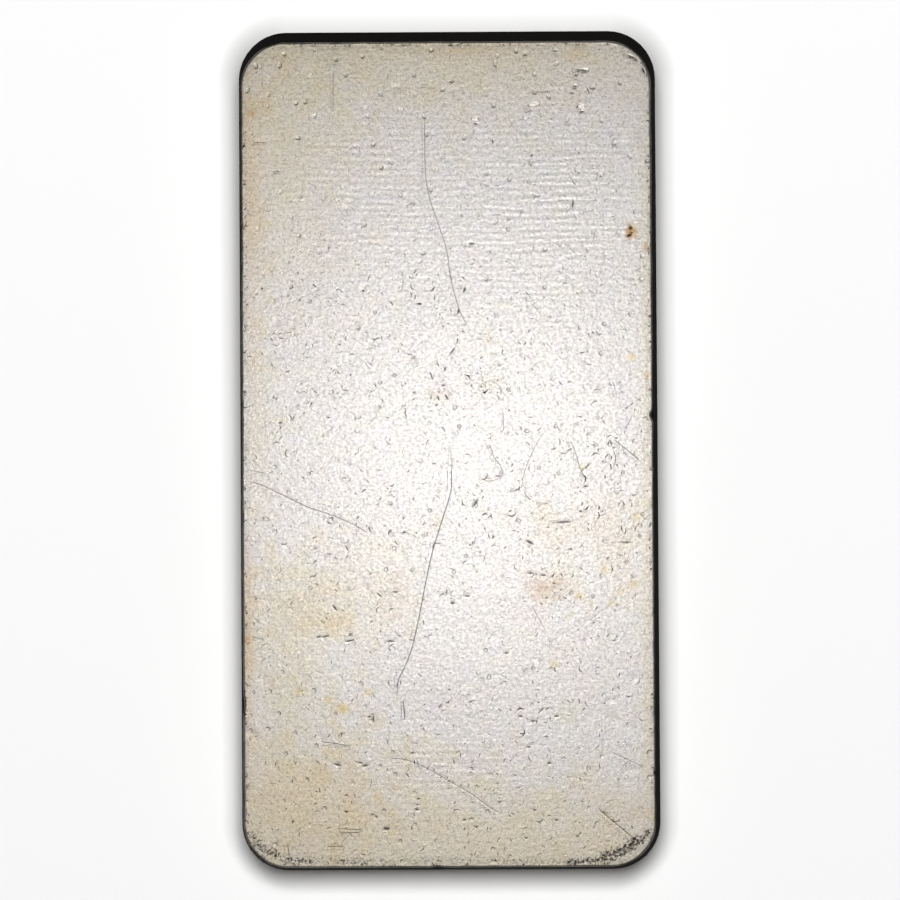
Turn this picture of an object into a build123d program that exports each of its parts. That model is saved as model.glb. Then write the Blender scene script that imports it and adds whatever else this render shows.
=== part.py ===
from build123d import *
import math
import os

# A small cast metal ingot, lying on its larger face with the narrower plain face up.
# Millimetres and degrees. X runs across the bar and Y along it, towards the head.

length = 89.1  # over the base, end to end, to the sharp edge before it is rolled
head_width = 44.1  # over the base at the +Y end, to the sharp edge
foot_width = 44.5  # over the base at the -Y end, which the mould left a little wider
thickness = 7.7  # base to face

end_draft = 6.7  # how far the two short walls lean in, so that the bar leaves its mould
side_draft = 3.1  # how far the two long walls lean in

base_corner_radius = 5.05  # corners in plan, at the base
face_corner_radius = 4.75  # corners in plan, at the face
base_edge_radius = 0.45  # the edge all round the base
face_edge_radius = 0.3  # the worn edge all round the face

# Each wall leans in by this much over the bar's whole thickness.
end_lean = thickness * math.tan(math.radians(end_draft))
side_lean = thickness * math.tan(math.radians(side_draft))

# The long walls aren't quite parallel: each turns this far from Y.
wall_turn = math.atan2((foot_width - head_width) / 2, length)


def plan_corners(end_inset, side_inset):
    """The outline's four corners, with its ends and its sides set in from the base's."""
    half_length = length / 2 - end_inset
    middle_half_width = (head_width + foot_width) / 4 - side_inset / math.cos(wall_turn)
    widening = half_length * math.tan(wall_turn)
    head = middle_half_width - widening
    foot = middle_half_width + widening
    return [(-foot, -half_length), (foot, -half_length), (head, half_length), (-head, half_length)]


with BuildPart() as ingot:
    # The walls are ruled between the base's outline and the face's.
    with BuildSketch(Plane.XY) as base_outline:
        Polygon(*plan_corners(0, 0), align=None)
        fillet(base_outline.vertices(), base_corner_radius)
    with BuildSketch(Plane.XY.offset(thickness)) as face_outline:
        Polygon(*plan_corners(end_lean, side_lean), align=None)
        fillet(face_outline.vertices(), face_corner_radius)
    loft(ruled=True)

    # The edges are rolled over all round, the face's less than the base's.
    face_edges = ingot.faces().sort_by(Axis.Z)[-1].edges()
    fillet(face_edges, face_edge_radius)
    base_edges = ingot.faces().sort_by(Axis.Z)[0].edges()
    fillet(base_edges, base_edge_radius)

os.makedirs("parts", exist_ok=True)
ingot.part.label = "ingot"
export_step(ingot.part, "parts/ingot.step")
print(f"volume {ingot.part.volume / 1000:.3f} cm3")
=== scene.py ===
import math

import bpy
import numpy as np
from mathutils import Matrix, Vector


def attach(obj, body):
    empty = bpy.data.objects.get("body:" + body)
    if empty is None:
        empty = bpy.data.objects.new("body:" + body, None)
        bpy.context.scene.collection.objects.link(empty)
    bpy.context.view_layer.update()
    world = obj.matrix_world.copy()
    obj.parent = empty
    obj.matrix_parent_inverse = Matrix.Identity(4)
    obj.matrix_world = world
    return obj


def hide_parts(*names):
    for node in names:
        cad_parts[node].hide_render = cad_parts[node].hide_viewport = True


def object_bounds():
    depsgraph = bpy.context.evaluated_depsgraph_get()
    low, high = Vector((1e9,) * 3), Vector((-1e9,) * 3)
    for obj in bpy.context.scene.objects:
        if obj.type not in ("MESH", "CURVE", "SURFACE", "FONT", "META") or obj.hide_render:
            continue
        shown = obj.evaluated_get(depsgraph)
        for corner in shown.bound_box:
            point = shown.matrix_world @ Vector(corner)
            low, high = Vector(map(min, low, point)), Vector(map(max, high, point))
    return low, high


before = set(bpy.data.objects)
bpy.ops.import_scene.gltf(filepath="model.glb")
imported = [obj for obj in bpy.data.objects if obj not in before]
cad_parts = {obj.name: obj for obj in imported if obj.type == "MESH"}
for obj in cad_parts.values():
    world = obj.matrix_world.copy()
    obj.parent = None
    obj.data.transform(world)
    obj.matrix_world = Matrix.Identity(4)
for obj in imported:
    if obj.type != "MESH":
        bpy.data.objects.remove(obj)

mm = 0.001
cadLow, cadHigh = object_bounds()
dice = np.random.default_rng(20)  # the dings are drawn from here; the noise has seeds of its own
print("frame loaded")


# How the photo shows the bar, so that a mark's place can be written in photo pixels.
photo = {
    "faceMiddle": (447.3, 454.2),  # the middle of the plain face, in pixels
    "pixelsPerMm": 9.45,           # at the height of the face
    "turnedDeg": 0.35,             # the bar lies turned this far, anticlockwise
}


def onFace(pixels):
    # photo pixels to mm on the face: measured from its middle, turned back, divided by the scale
    across = np.asarray(pixels, float) - photo["faceMiddle"]
    turn = math.radians(photo["turnedDeg"])
    x = across[..., 0] * math.cos(turn) - across[..., 1] * math.sin(turn)
    y = -across[..., 0] * math.sin(turn) - across[..., 1] * math.cos(turn)
    return np.stack([x, y], axis=-1) / photo["pixelsPerMm"]


# The bar's own sizes in mm, the same as the solid's but for the sharper edge round the face.
ingot = {
    "node": "ingot",
    "length": 89.1,
    "headWidth": 44.1,
    "footWidth": 44.5,
    "thickness": (cadHigh.z - cadLow.z) / mm,
    "endDraft": 6.7,
    "sideDraft": 3.1,
    "baseCorner": 5.05,
    "faceCorner": 4.75,
    "baseRoll": 0.45,
    "faceRoll": 0.12,
    "cellsAcross": 188,   # over the face; both counts divide by coarser
    "cellsAlong": 380,
    "cornerCells": 20,
    "coarser": 4,         # the foot and the base have this many times fewer cells each way
    "rimReach": 1.5,      # rows are drawn towards the face's edge from this far in
    "reliefRoom": 0.05,   # the face lies this far under the solid's, to leave room for lips and burrs
    "rimBurr": 0.008,     # the rim's own points stand this far above the face's level
    "rimWear": 0.02,      # how far the face's edge is rubbed back
    "wearReach": 0.7,     # and how far in, and down the wall, that is felt
    "rimFall": 0.016,     # how far the face falls away towards its edge
    "fallReach": 0.4,
    "hills": ((14, 0.008, 41), (4, 0.003, 51)),  # size, height and seed of the face's shallow hills
    # dings: how many, their radii from small to small + spread, and their depth over their radius
    "dings": {"count": 260, "small": 0.16, "spread": 0.20, "shallow": 0.02, "steep": 0.07},
    "lip": {"high": 0.022, "most": 0.03, "inward": 0.10, "half": 0.09},  # along the face's edge
    "scratchRelief": 0.35,   # shares of a mark's depth that go into the mesh; the rest is bump
    "knockRelief": 0.5,
    "cleanRelief": 0.1,
    "topTurns": (25, 50, 75),       # where rings lie on the two rolled edges, in degrees
    "footTurns": (15, 40, 62, 80),
    "wallTop": 0.30,                # the walls' even rings start this far down
    "wallRings": 10,
    "wallDent": 0.012,              # how uneven the walls are
}


def smooth(low, high, value):
    # 0 at low, 1 at high, with no corner between them
    t = np.clip((value - low) / (high - low), 0, 1)
    return t * t * (3 - 2 * t)


def outAt(z, draft):
    # how far out a wall stands at height z, from the sharp edge of the base: the leaning line
    # less what the rolled edges take away at its top and its foot
    tall, lean = ingot["thickness"], math.radians(draft)
    line = -z * math.tan(lean)
    top, foot = ingot["faceRoll"], ingot["baseRoll"]
    atTop = -tall * math.tan(lean) - top * (1 - math.sin(lean)) / math.cos(lean)
    atFoot = -foot * (1 + math.sin(lean)) / math.cos(lean)
    topArc = atTop + np.sqrt(np.maximum(top**2 - (z - tall + top) ** 2, 0))
    footArc = atFoot + np.sqrt(np.maximum(foot**2 - (z - foot) ** 2, 0))
    out = np.where(z > tall - top * (1 - math.sin(lean)), topArc, line)
    return np.where(z < foot * (1 + math.sin(lean)), footArc, out), line


def ringSizes(z):
    # half width, half length and corner radius of the bar's outline at height z
    sideOut, sideLine = outAt(z, ingot["sideDraft"])
    endOut, endLine = outAt(z, ingot["endDraft"])
    halfWidth = (ingot["headWidth"] + ingot["footWidth"]) / 4 + sideOut
    halfLength = ingot["length"] / 2 + endOut
    ruled = ingot["baseCorner"] + (ingot["faceCorner"] - ingot["baseCorner"]) * z / ingot["thickness"]
    radius = ruled + (sideOut - sideLine + endOut - endLine) / 2
    return halfWidth, halfLength, radius


def widen(x, y):
    # the foot end is wider: x grows in proportion as y falls
    grow = (ingot["footWidth"] - ingot["headWidth"]) / (ingot["footWidth"] + ingot["headWidth"])
    return x * (1 - grow * y / (ingot["length"] / 2))


def plan(column, row, halfWidth, halfLength, radius):
    # grid steps from the middle, -1 to 1, to mm: even steps on the straight part, and in each corner
    # the square (p, q) becomes a quarter disc, p * sqrt(1 - q*q / 2) by q * sqrt(1 - p*p / 2)
    def steps(part, cells):
        flat = 1 - 2 * ingot["cornerCells"] / cells
        size = np.abs(part)
        return np.minimum(size / flat, 1), np.clip((size - flat) / (1 - flat), 0, 1)

    straightX, p = steps(column, ingot["cellsAcross"])
    straightY, q = steps(row, ingot["cellsAlong"])
    x = straightX * (halfWidth - radius) + p * np.sqrt(1 - q * q / 2) * radius
    y = straightY * (halfLength - radius) + q * np.sqrt(1 - p * p / 2) * radius
    x, y = np.sign(column) * x, np.sign(row) * y
    return np.stack([widen(x, y), y], axis=-1)


def edgeDistance(points, sizes):
    # distance in from a rounded rectangle's outline, and the direction straight out to it
    halfWidth, halfLength, radius = sizes
    x, y = points[..., 0] / widen(1.0, points[..., 1]), points[..., 1]
    qx, qy = np.abs(x) - (halfWidth - radius), np.abs(y) - (halfLength - radius)
    cornerX, cornerY = np.maximum(qx, 0), np.maximum(qy, 0)
    reach = np.hypot(cornerX, cornerY)
    inCorner = (qx > 0) & (qy > 0)
    inward = radius - np.where(inCorner, reach, np.maximum(qx, qy))
    safe = np.maximum(reach, 1e-9)
    outX = np.where(inCorner, cornerX / safe, qx >= qy) * np.sign(x)
    outY = np.where(inCorner, cornerY / safe, qy > qx) * np.sign(y)
    return inward, np.stack([outX, outY], axis=-1)


def softNoise(points, size, seed, octaves=3):
    # smooth random hills, about -1 to 1: lattice noise of the given hill size in mm, halved in size
    # and height for each octave
    total, weight, scale = 0.0, 1.0, 0.0
    for octave in range(octaves):
        lattice = np.random.default_rng(seed + octave).uniform(-1, 1, (257, 257))
        at = points * (2**octave / np.asarray(size, float)) + 31.7 * (octave + 1)
        cell = np.floor(at).astype(int)
        t = at - cell
        t = t * t * (3 - 2 * t)
        i, j = cell[..., 0] % 256, cell[..., 1] % 256
        low = lattice[i, j] * (1 - t[..., 0]) + lattice[i + 1, j] * t[..., 0]
        high = lattice[i, j + 1] * (1 - t[..., 0]) + lattice[i + 1, j + 1] * t[..., 0]
        total = total + weight * (low * (1 - t[..., 1]) + high * t[..., 1])
        scale, weight = scale + weight * 0.6, weight / 2
    return total / scale


# Long scratches, as points in photo pixels. Half width and depth in mm. Where two run close
# together, the second is on its own layer.
scratches = {
    "upperLong": ([(424, 110), (425, 170), (430, 200), (445, 245), (450, 275), (454, 293), (461, 314),
                   (471, 330)], 0.070, 0.020, 0),
    "middleLong": ([(452, 455), (451, 475), (450, 492), (440.5, 523), (432, 551), (425, 583), (418, 619),
                    (411, 649), (403, 669), (398, 680), (396, 703)], 0.060, 0.030, 0),
    "middleTail": ([(402.6, 699), (404.7, 720)], 0.060, 0.036, 1),
    "leftLong": ([(245, 480), (258, 483), (278, 492), (307, 506), (328, 513), (352, 523), (370, 534)],
                 0.065, 0.024, 0),
    "leftShort": ([(250, 469), (266, 473)], 0.06, 0.02, 1),
    "footLong": ([(384, 757), (405, 759), (419, 764), (433, 771), (450, 781), (471, 793), (489, 806),
                  (503, 814)], 0.06, 0.026, 0),
    "rightUpper": ([(613, 438), (639, 459)], 0.06, 0.026, 0),
    "rightUpperShort": ([(632, 414), (624, 429)], 0.055, 0.02, 1),
    "rightFoot": ([(611, 751), (645, 767)], 0.06, 0.02, 0),
    "cornerFoot": ([(597, 807), (616, 823), (634, 838)], 0.07, 0.030, 0),
    "leftFootPairA": ([(320, 741), (336, 743), (352, 746)], 0.05, 0.035, 0),
    "leftFootPairB": ([(329, 743.5), (352, 747.5)], 0.045, 0.02, 1),
    "shortMiddleRight": ([(531, 604), (545, 630)], 0.05, 0.016, 0),
    "rightHook": ([(618, 595), (597, 613), (551, 641), (571, 652)], 0.05, 0.012, 1),
    "hairA": ([(489, 442), (494, 457), (500, 465), (501, 476), (487, 480), (478, 475)], 0.045, 0.022, 0),
    "hairB": ([(544, 430), (537, 441), (530, 455), (525, 468), (522, 483), (530, 489)], 0.045, 0.018, 0),
    "hairC": ([(502, 408), (503, 428), (497, 432)], 0.045, 0.02, 1),
    "hook": ([(401, 270), (403, 280), (400, 292)], 0.05, 0.02, 0),
    "leftUpright": ([(294, 310), (294, 337)], 0.05, 0.012, 1),
    "leftArc": ([(273, 309), (282, 303), (292, 301), (328, 285)], 0.05, 0.012, 0),
    "headUpright": ([(333, 68), (333, 113)], 0.06, 0.018, 0),
    "leftDash": ([(251, 636), (264, 639)], 0.05, 0.03, 0),
    "footDash": ([(287, 844), (289, 855)], 0.05, 0.035, 0),
    "footPairA": ([(337, 828.3), (363, 829.3)], 0.05, 0.035, 0),
    "footPairB": ([(339, 831.8), (360, 832)], 0.05, 0.035, 1),
    "footLine": ([(326, 846), (344, 846)], 0.05, 0.035, 1),
    "headDash": ([(529, 91), (551, 91)], 0.05, 0.02, 0),
    "headHook": ([(382.5, 81.6), (390, 75), (400, 75.7)], 0.045, 0.018, 0),
    "headShort": ([(419, 84), (428, 84)], 0.045, 0.025, 1),
    "headLevel": ([(558, 199.5), (598, 199.5)], 0.05, 0.010, 0),
    "leftLevel": ([(252, 142), (268, 142)], 0.05, 0.022, 0),
    "leftBright": ([(347, 149), (360.5, 145.5)], 0.07, 0.012, 0),
    "leftDot": ([(272.5, 171), (280.6, 171)], 0.05, 0.030, 1),
    "upperStroke": ([(405, 205.6), (413.4, 202)], 0.05, 0.026, 0),
    "rightHairA": ([(594.5, 230), (591.5, 243)], 0.04, 0.016, 0),
    "rightHairB": ([(604, 247), (604, 262)], 0.04, 0.014, 1),
    "rightHairC": ([(600, 212), (603, 217)], 0.04, 0.018, 0),
    "rightHairD": ([(618.5, 775), (618.5, 788)], 0.04, 0.016, 1),
    "middleStart": ([(450, 449), (451, 463)], 0.07, 0.012, 1),
    "middleArc": ([(472, 508), (473, 502), (476, 501), (477, 505), (474, 508)], 0.045, 0.022, 1),
    "rightArc": ([(569, 439), (575, 452), (579, 466), (585, 478)], 0.045, 0.022, 0),
    "greyDash": ([(548, 519.5), (571, 521)], 0.06, 0.014, 1),
}

# Single knocks, as photo pixels, length, half width and depth in mm, and the way they run in
# degrees from the bar's width. A deeper one holds more dirt.
knocks = [
    (580.3, 107.4, 0.0, 0.42, 0.11, 0), (580.8, 111.4, 0.30, 0.09, 0.07, 8),
    (474.4, 119.6, 0.0, 0.38, 0.07, 0), (475.3, 123.4, 0.35, 0.07, 0.06, -12),
    (578, 152.4, 0.15, 0.07, 0.05, 0), (578, 172.4, 0.15, 0.07, 0.05, 20), (600, 176, 0.2, 0.07, 0.05, 20),
    (400.5, 109, 0.2, 0.20, 0.05, 0), (365, 107, 0.15, 0.20, 0.05, 0), (525, 117.5, 0.0, 0.24, 0.05, 0),
    (533, 104, 0.8, 0.22, 0.04, 6), (577, 149.5, 0.0, 0.26, 0.06, 0), (577, 169.5, 0.1, 0.25, 0.05, 0),
    (599, 173.4, 0.1, 0.24, 0.06, 0),
    (629.5, 227, 0.1, 0.15, 0.09, 60), (628.3, 234.5, 0.2, 0.15, 0.09, 15),
    (552, 188, 0.1, 0.15, 0.04, 0), (310, 76, 0.3, 0.17, 0.06, 50), (269, 77, 0.0, 0.15, 0.05, 0),
    (331, 186, 0.0, 0.14, 0.05, 0), (323, 199, 0.0, 0.14, 0.05, 0),
    (411, 202, 0.0, 0.15, 0.05, 0), (276, 171, 0.1, 0.13, 0.04, 0), (262, 288, 0.0, 0.13, 0.05, 0),
    (363, 290, 0.0, 0.13, 0.05, 0), (580.5, 70, 1.3, 0.08, 0.07, -4), (524, 55, 0.4, 0.08, 0.05, 0),
    (554, 51, 0.5, 0.08, 0.05, 0), (575, 75, 0.15, 0.10, 0.06, 0), (574, 86, 0.35, 0.07, 0.05, 8),
    (587, 90, 0.5, 0.07, 0.06, -65), (571, 93, 0.2, 0.09, 0.05, -20), (531, 155, 0.2, 0.08, 0.06, 45),
    (572, 203, 0.7, 0.08, 0.07, 82), (492, 141, 0.3, 0.08, 0.05, -80), (452, 350, 0.8, 0.08, 0.05, 52),
    (464, 289, 0.4, 0.10, 0.05, 70), (471, 243, 0.3, 0.10, 0.05, 0), (419, 303, 0.3, 0.12, 0.05, 0),
    (431, 375, 0.7, 0.07, 0.04, -70), (446, 396, 0.4, 0.10, 0.05, -60), (280, 422, 0.2, 0.10, 0.04, 0),
    (311, 403, 0.3, 0.08, 0.04, 60), (334.5, 607, 0.5, 0.10, 0.06, -50),
    (346.5, 547, 0.6, 0.06, 0.04, -60),
    (379, 594, 0.5, 0.08, 0.04, -40), (395, 591, 0.5, 0.07, 0.04, 0), (318, 636, 0.3, 0.08, 0.06, 30),
    (325, 635.5, 0.6, 0.08, 0.06, 10), (349, 640, 0.8, 0.08, 0.05, 8), (391, 640, 0.6, 0.07, 0.04, -10),
    (585, 485, 0.3, 0.08, 0.05, 0), (475, 502, 0.7, 0.10, 0.05, 60), (484, 513, 0.4, 0.08, 0.04, 20),
    (529, 541, 0.6, 0.12, 0.06, -30), (570, 548, 0.3, 0.08, 0.04, 0), (562, 521, 1.8, 0.07, 0.03, 4),
    (625, 541, 1.2, 0.07, 0.03, 0), (530, 572, 0.4, 0.08, 0.04, 0), (543, 574, 0.4, 0.08, 0.04, 0),
    (452, 602, 0.2, 0.11, 0.06, 0), (467, 595, 0.3, 0.08, 0.04, 0), (506, 652, 0.3, 0.08, 0.04, 0),
    (373, 718, 0.7, 0.08, 0.07, 84), (369, 716, 0.2, 0.09, 0.06, 0), (337, 764, 0.6, 0.11, 0.08, -14),
    (360, 762, 0.3, 0.09, 0.07, -10), (365, 765, 0.5, 0.10, 0.08, 14), (292, 781, 0.3, 0.07, 0.05, 85),
    (386, 828, 0.3, 0.17, 0.10, 0), (346, 811, 0.2, 0.12, 0.06, 0), (293, 821, 0.0, 0.12, 0.07, 0),
    (412, 752, 0.3, 0.09, 0.06, 25), (418, 798, 0.2, 0.09, 0.05, 0), (417, 809, 0.2, 0.09, 0.05, 0),
    (376, 816, 0.2, 0.09, 0.06, -40), (549, 762, 0.3, 0.09, 0.05, 0), (556, 819, 0.2, 0.09, 0.05, 0),
    (528, 746, 0.3, 0.09, 0.05, 0), (533, 720, 0.4, 0.09, 0.05, 0), (541, 709, 0.5, 0.07, 0.05, 45),
    (556, 715, 0.3, 0.09, 0.05, 0), (520, 715, 0.3, 0.09, 0.05, 0), (534, 809, 0.2, 0.09, 0.05, 0),
    (464, 819, 0.2, 0.09, 0.05, 0), (476, 826, 0.2, 0.09, 0.05, 0), (526, 837, 0.2, 0.09, 0.05, 0),
    (577, 835, 0.2, 0.09, 0.05, 0), (631, 57, 1.0, 0.08, 0.05, -28), (642, 70, 0.5, 0.12, 0.05, -70),
    (440, 705, 0.6, 0.06, 0.04, 60), (411, 639, 0.5, 0.06, 0.04, -8), (350, 633, 0.3, 0.08, 0.05, 0),
    (371, 621, 0.3, 0.06, 0.04, 40),
]

# Small nicks in the face's edge, as photo pixels, half width and depth in mm.
nicks = [
    (651.5, 414, 0.5, 0.30), (245, 704, 0.9, 0.16), (437, 866, 0.4, 0.12), (655, 771, 0.35, 0.14),
    (240, 226, 0.3, 0.10), (336, 44, 0.5, 0.06),
]

# What all the marks have in common.
marks = {
    "cleanHalf": 0.125,    # a knock wider than this and higher up the photo than cleanRow is clean
    "cleanRow": 220,
    "fullScratch": 0.035,  # a scratch this deep shows at its full strength
    "knockFrame": 0.9,     # a knock's own frame ends this far from it, and what shows ends sooner
    "knockFade": (0.62, 0.42),
    "farOff": 9.0,         # where no scratch is near, its line counts as this many half widths away
    "leastDirt": 0.45,     # how strongly the shallowest knock shows
    "fullDirt": 0.09,      # and how much depth would add 1 to that
    "fullShine": 0.3,      # a clean knock of this half width shines at its full strength
}


def curveThrough(points, step=0.15):
    # a smooth path through given points: Catmull-Rom, p(t) cubic between each pair
    ends = np.vstack([2 * points[0] - points[1], points, 2 * points[-1] - points[-2]])
    path = []
    for a, b, c, d in zip(ends[:-3], ends[1:-2], ends[2:-1], ends[3:]):
        t = np.linspace(0, 1, max(2, int(np.linalg.norm(c - b) / step)), endpoint=False)[:, None]
        path.append(0.5 * (2 * b + (c - a) * t + (2 * a - 5 * b + 4 * c - d) * t**2
                           + (3 * b - a - 3 * c + d) * t**3))
    return np.vstack([*path, points[-1:]])


def nearestOn(path, points):
    # for each point: how far the path is, its nearest place, how far along the path that is, 0 to 1,
    # and the distance square across the path there, positive on its left
    best = np.full(len(points), 1e9)
    place, along, across = np.zeros_like(points), np.zeros(len(points)), np.zeros(len(points))
    for number, (a, b) in enumerate(zip(path[:-1], path[1:])):
        run = b - a
        size = max(np.linalg.norm(run), 1e-9)
        offset = points - a
        t = np.clip(offset @ run / size**2, 0, 1)
        spot = a + t[:, None] * run
        away = np.linalg.norm(points - spot, axis=1)
        nearer = away < best
        best[nearer], place[nearer] = away[nearer], spot[nearer]
        along[nearer] = ((number + t) / (len(path) - 1))[nearer]
        across[nearer] = ((run[0] * offset[:, 1] - run[1] * offset[:, 0]) / size)[nearer]
    return best, place, along, across


def around(points, path, reach):
    # the points inside the path's box, made larger by reach
    return np.flatnonzero(((points > path.min(0) - reach) & (points < path.max(0) + reach)).all(1))


def isClean(y, half):
    # the wide knocks high on the face hold no dirt, so that they shine
    return half > marks["cleanHalf"] and y < marks["cleanRow"]


def knockPath(x, y, long, angle):
    # a straight line through the knock's middle, half its length each way along its angle
    turn = math.radians(angle)
    run = np.array([math.cos(turn), math.sin(turn)]) * max(long, 0.01) / 2
    middle = onFace((x, y))
    return np.array([middle - run, middle + run])


def drawTowards(points, path, half):
    # the face's grid is drawn towards a mark, so that its narrow sides get rows of their own:
    # distance d becomes d * (0.4 + 0.6 * d / reach)
    reach = 0.35 + 4 * half
    near = around(points, path, reach)
    away, place, _, _ = nearestOn(path, points[near])
    inside = away < reach
    pull = 0.4 + 0.6 * away[inside] / reach
    chosen = near[inside]
    points[chosen] = place[inside] + (points[chosen] - place[inside]) * pull[:, None]


def cutMark(points, height, path, half, deep):
    # a groove with low lips: -deep * exp(-(d/half)^2), and a seventh of that raised at each side
    near = around(points, path, 5 * half)
    away, _, along, _ = nearestOn(path, points[near])
    taper = np.clip(np.minimum(along, 1 - along) * 12 + 0.25, 0, 1)
    size = away / half
    height[near] -= deep * taper * (np.exp(-size**2) - 0.14 * np.exp(-((size - 1.9) / 0.7) ** 2))


def scratchPlaces(points):
    # each scratch's own frame, so that the finish can draw it sharply: how far a point lies across
    # the line in half widths, and how strongly the line shows there, which fades at its ends
    layers = [(np.full(len(points), marks["farOff"]), np.zeros(len(points))) for _ in range(2)]
    for path, half, deep, layer in scratches.values():
        path = curveThrough(onFace(path))
        near = around(points, path, 6 * half)
        away, _, along, across = nearestOn(path, points[near])
        taper = np.clip(np.minimum(along, 1 - along) * 14, 0, 1) * smooth(8 * half, 5 * half, away)
        share = taper * min(1, deep / marks["fullScratch"])
        lines, shares = layers[layer]
        closer = share > shares[near]
        lines[near[closer]] = (across / half)[closer]
        shares[near[closer]] = share[closer]
    return layers


def knockPlaces(points):
    # each knock's own frame: a point's place along and across the nearest knock in its half sizes,
    # and how strongly it shows, which ends before the frame does and is below 0 for a clean knock
    places, nearest = np.zeros((len(points), 3)), np.full(len(points), marks["knockFrame"])
    for x, y, long, half, deep, angle in knocks:
        path = knockPath(x, y, long, angle)
        near = around(points, path, marks["knockFrame"])
        offset = points[near] - path.mean(0)
        turn = math.radians(angle)
        run = offset @ (math.cos(turn), math.sin(turn))
        side = offset @ (-math.sin(turn), math.cos(turn))
        away = np.hypot(np.maximum(np.abs(run) - long / 2, 0), side)
        closer = away < nearest[near]
        chosen = near[closer]
        nearest[chosen] = away[closer]
        if isClean(y, half):
            share = -half / marks["fullShine"]
        else:
            share = min(1, marks["leastDirt"] + deep / marks["fullDirt"])
        gate = smooth(*marks["knockFade"], away[closer]) * share
        run, side = run[closer] / (long / 2 + 1.1 * half), side[closer] / half
        places[chosen] = np.column_stack([run, side, gate])
    return places


def randomDings(points, height, count, small, spread, shallow, steep):
    # shallow round and oval knocks all over the face, each a bell-shaped hollow:
    # -deep * exp(-(a^2 + b^2) / size^2), with a the place along it over its stretch and b across
    flat = ringSizes(ingot["thickness"])
    middles = dice.uniform(-1, 1, (count, 2)) * (flat[0], flat[1])
    sizes = small + spread * dice.random(count) ** 3
    depths = sizes * dice.uniform(shallow, steep, count)
    angles = dice.uniform(0, math.pi, count)
    stretch = dice.uniform(1.0, 2.4, count)
    order = np.argsort(points[:, 1])
    sortedY = points[order, 1]
    for middle, size, deep, angle, long in zip(middles, sizes, depths, angles, stretch):
        reach = 2.6 * size * long
        low, high = np.searchsorted(sortedY, (middle[1] - reach, middle[1] + reach))
        near = order[low:high]
        near = near[np.abs(points[near, 0] - middle[0]) < reach]
        offset = points[near] - middle
        along = offset @ (math.cos(angle), math.sin(angle)) / long
        across = offset @ (-math.sin(angle), math.cos(angle))
        height[near] -= deep * np.exp(-(along**2 + across**2) / size**2)


# Where the silver has toned. Each patch is its middle and half sizes in photo pixels, its strength
# and its tint. Spots have a sharper edge than blooms.
tints = {
    "straw": (0.97, 0.917, 0.775),
    "sand": (0.97, 0.89, 0.73),
    "tan": (0.96, 0.86, 0.72),
    "honey": (0.95, 0.84, 0.52),
    "peach": (1.0, 0.93, 0.86),
    "sepia": (0.88, 0.80, 0.70),
    "brown": (0.74, 0.58, 0.44),
    "rust": (0.80, 0.50, 0.22),
    "moss": (0.86, 0.90, 0.72),
    "violet": (0.95, 0.91, 1.0),
    "slate": (0.80, 0.86, 0.92),
}
blooms = [
    (251, 205, 13, 105, 0.9, "tan"), (285, 190, 60, 130, 0.50, "straw"),
    (256, 430, 18, 110, 0.45, "straw"), (247, 640, 9, 85, 0.9, "tan"), (284, 645, 52, 90, 0.62, "straw"),
    (330, 605, 70, 34, 0.55, "straw"), (445, 46, 240, 62, 1.05, "straw"), (290, 800, 90, 80, 0.9, "sand"),
    (280, 105, 75, 75, 0.5, "straw"), (430, 850, 240, 74, 0.9, "straw"),
    (600, 850, 120, 60, 0.55, "straw"), (648, 300, 9, 260, 0.6, "straw"),
    (650, 700, 12, 150, 0.6, "straw"), (330, 623, 34, 9, 0.5, "tan"), (330, 588, 30, 8, 0.3, "tan"),
    (620, 814, 22, 16, 0.5, "peach"), (549, 586, 25, 14, 0.85, "sepia"),
    (545, 518, 19, 25, 0.55, "sepia"), (612, 520, 26, 34, 0.30, "sepia"),
    (456, 51, 40, 4, 0.6, "tan"), (577, 55, 14, 8, 0.4, "honey"), (333, 58, 8, 12, 0.5, "slate"),
    (439, 393, 11, 8, 0.6, "sepia"), (485, 383, 17, 14, 0.3, "sepia"), (435, 518, 7, 9, 0.5, "sepia"),
    (505, 521, 8, 9, 0.4, "sepia"), (404, 590, 14, 18, 0.35, "sepia"), (505, 540, 40, 26, 0.2, "peach"),
    (600, 540, 34, 40, 0.25, "straw"), (560, 660, 60, 60, 0.15, "peach"), (568, 717, 14, 8, 0.3, "moss"),
    (380, 545, 44, 20, 0.3, "straw"), (375, 800, 30, 30, 0.3, "peach"), (300, 700, 30, 26, 0.2, "moss"),
    (400, 700, 40, 30, 0.2, "violet"), (620, 580, 24, 30, 0.3, "straw"), (480, 770, 60, 26, 0.2, "peach"),
]
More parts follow.
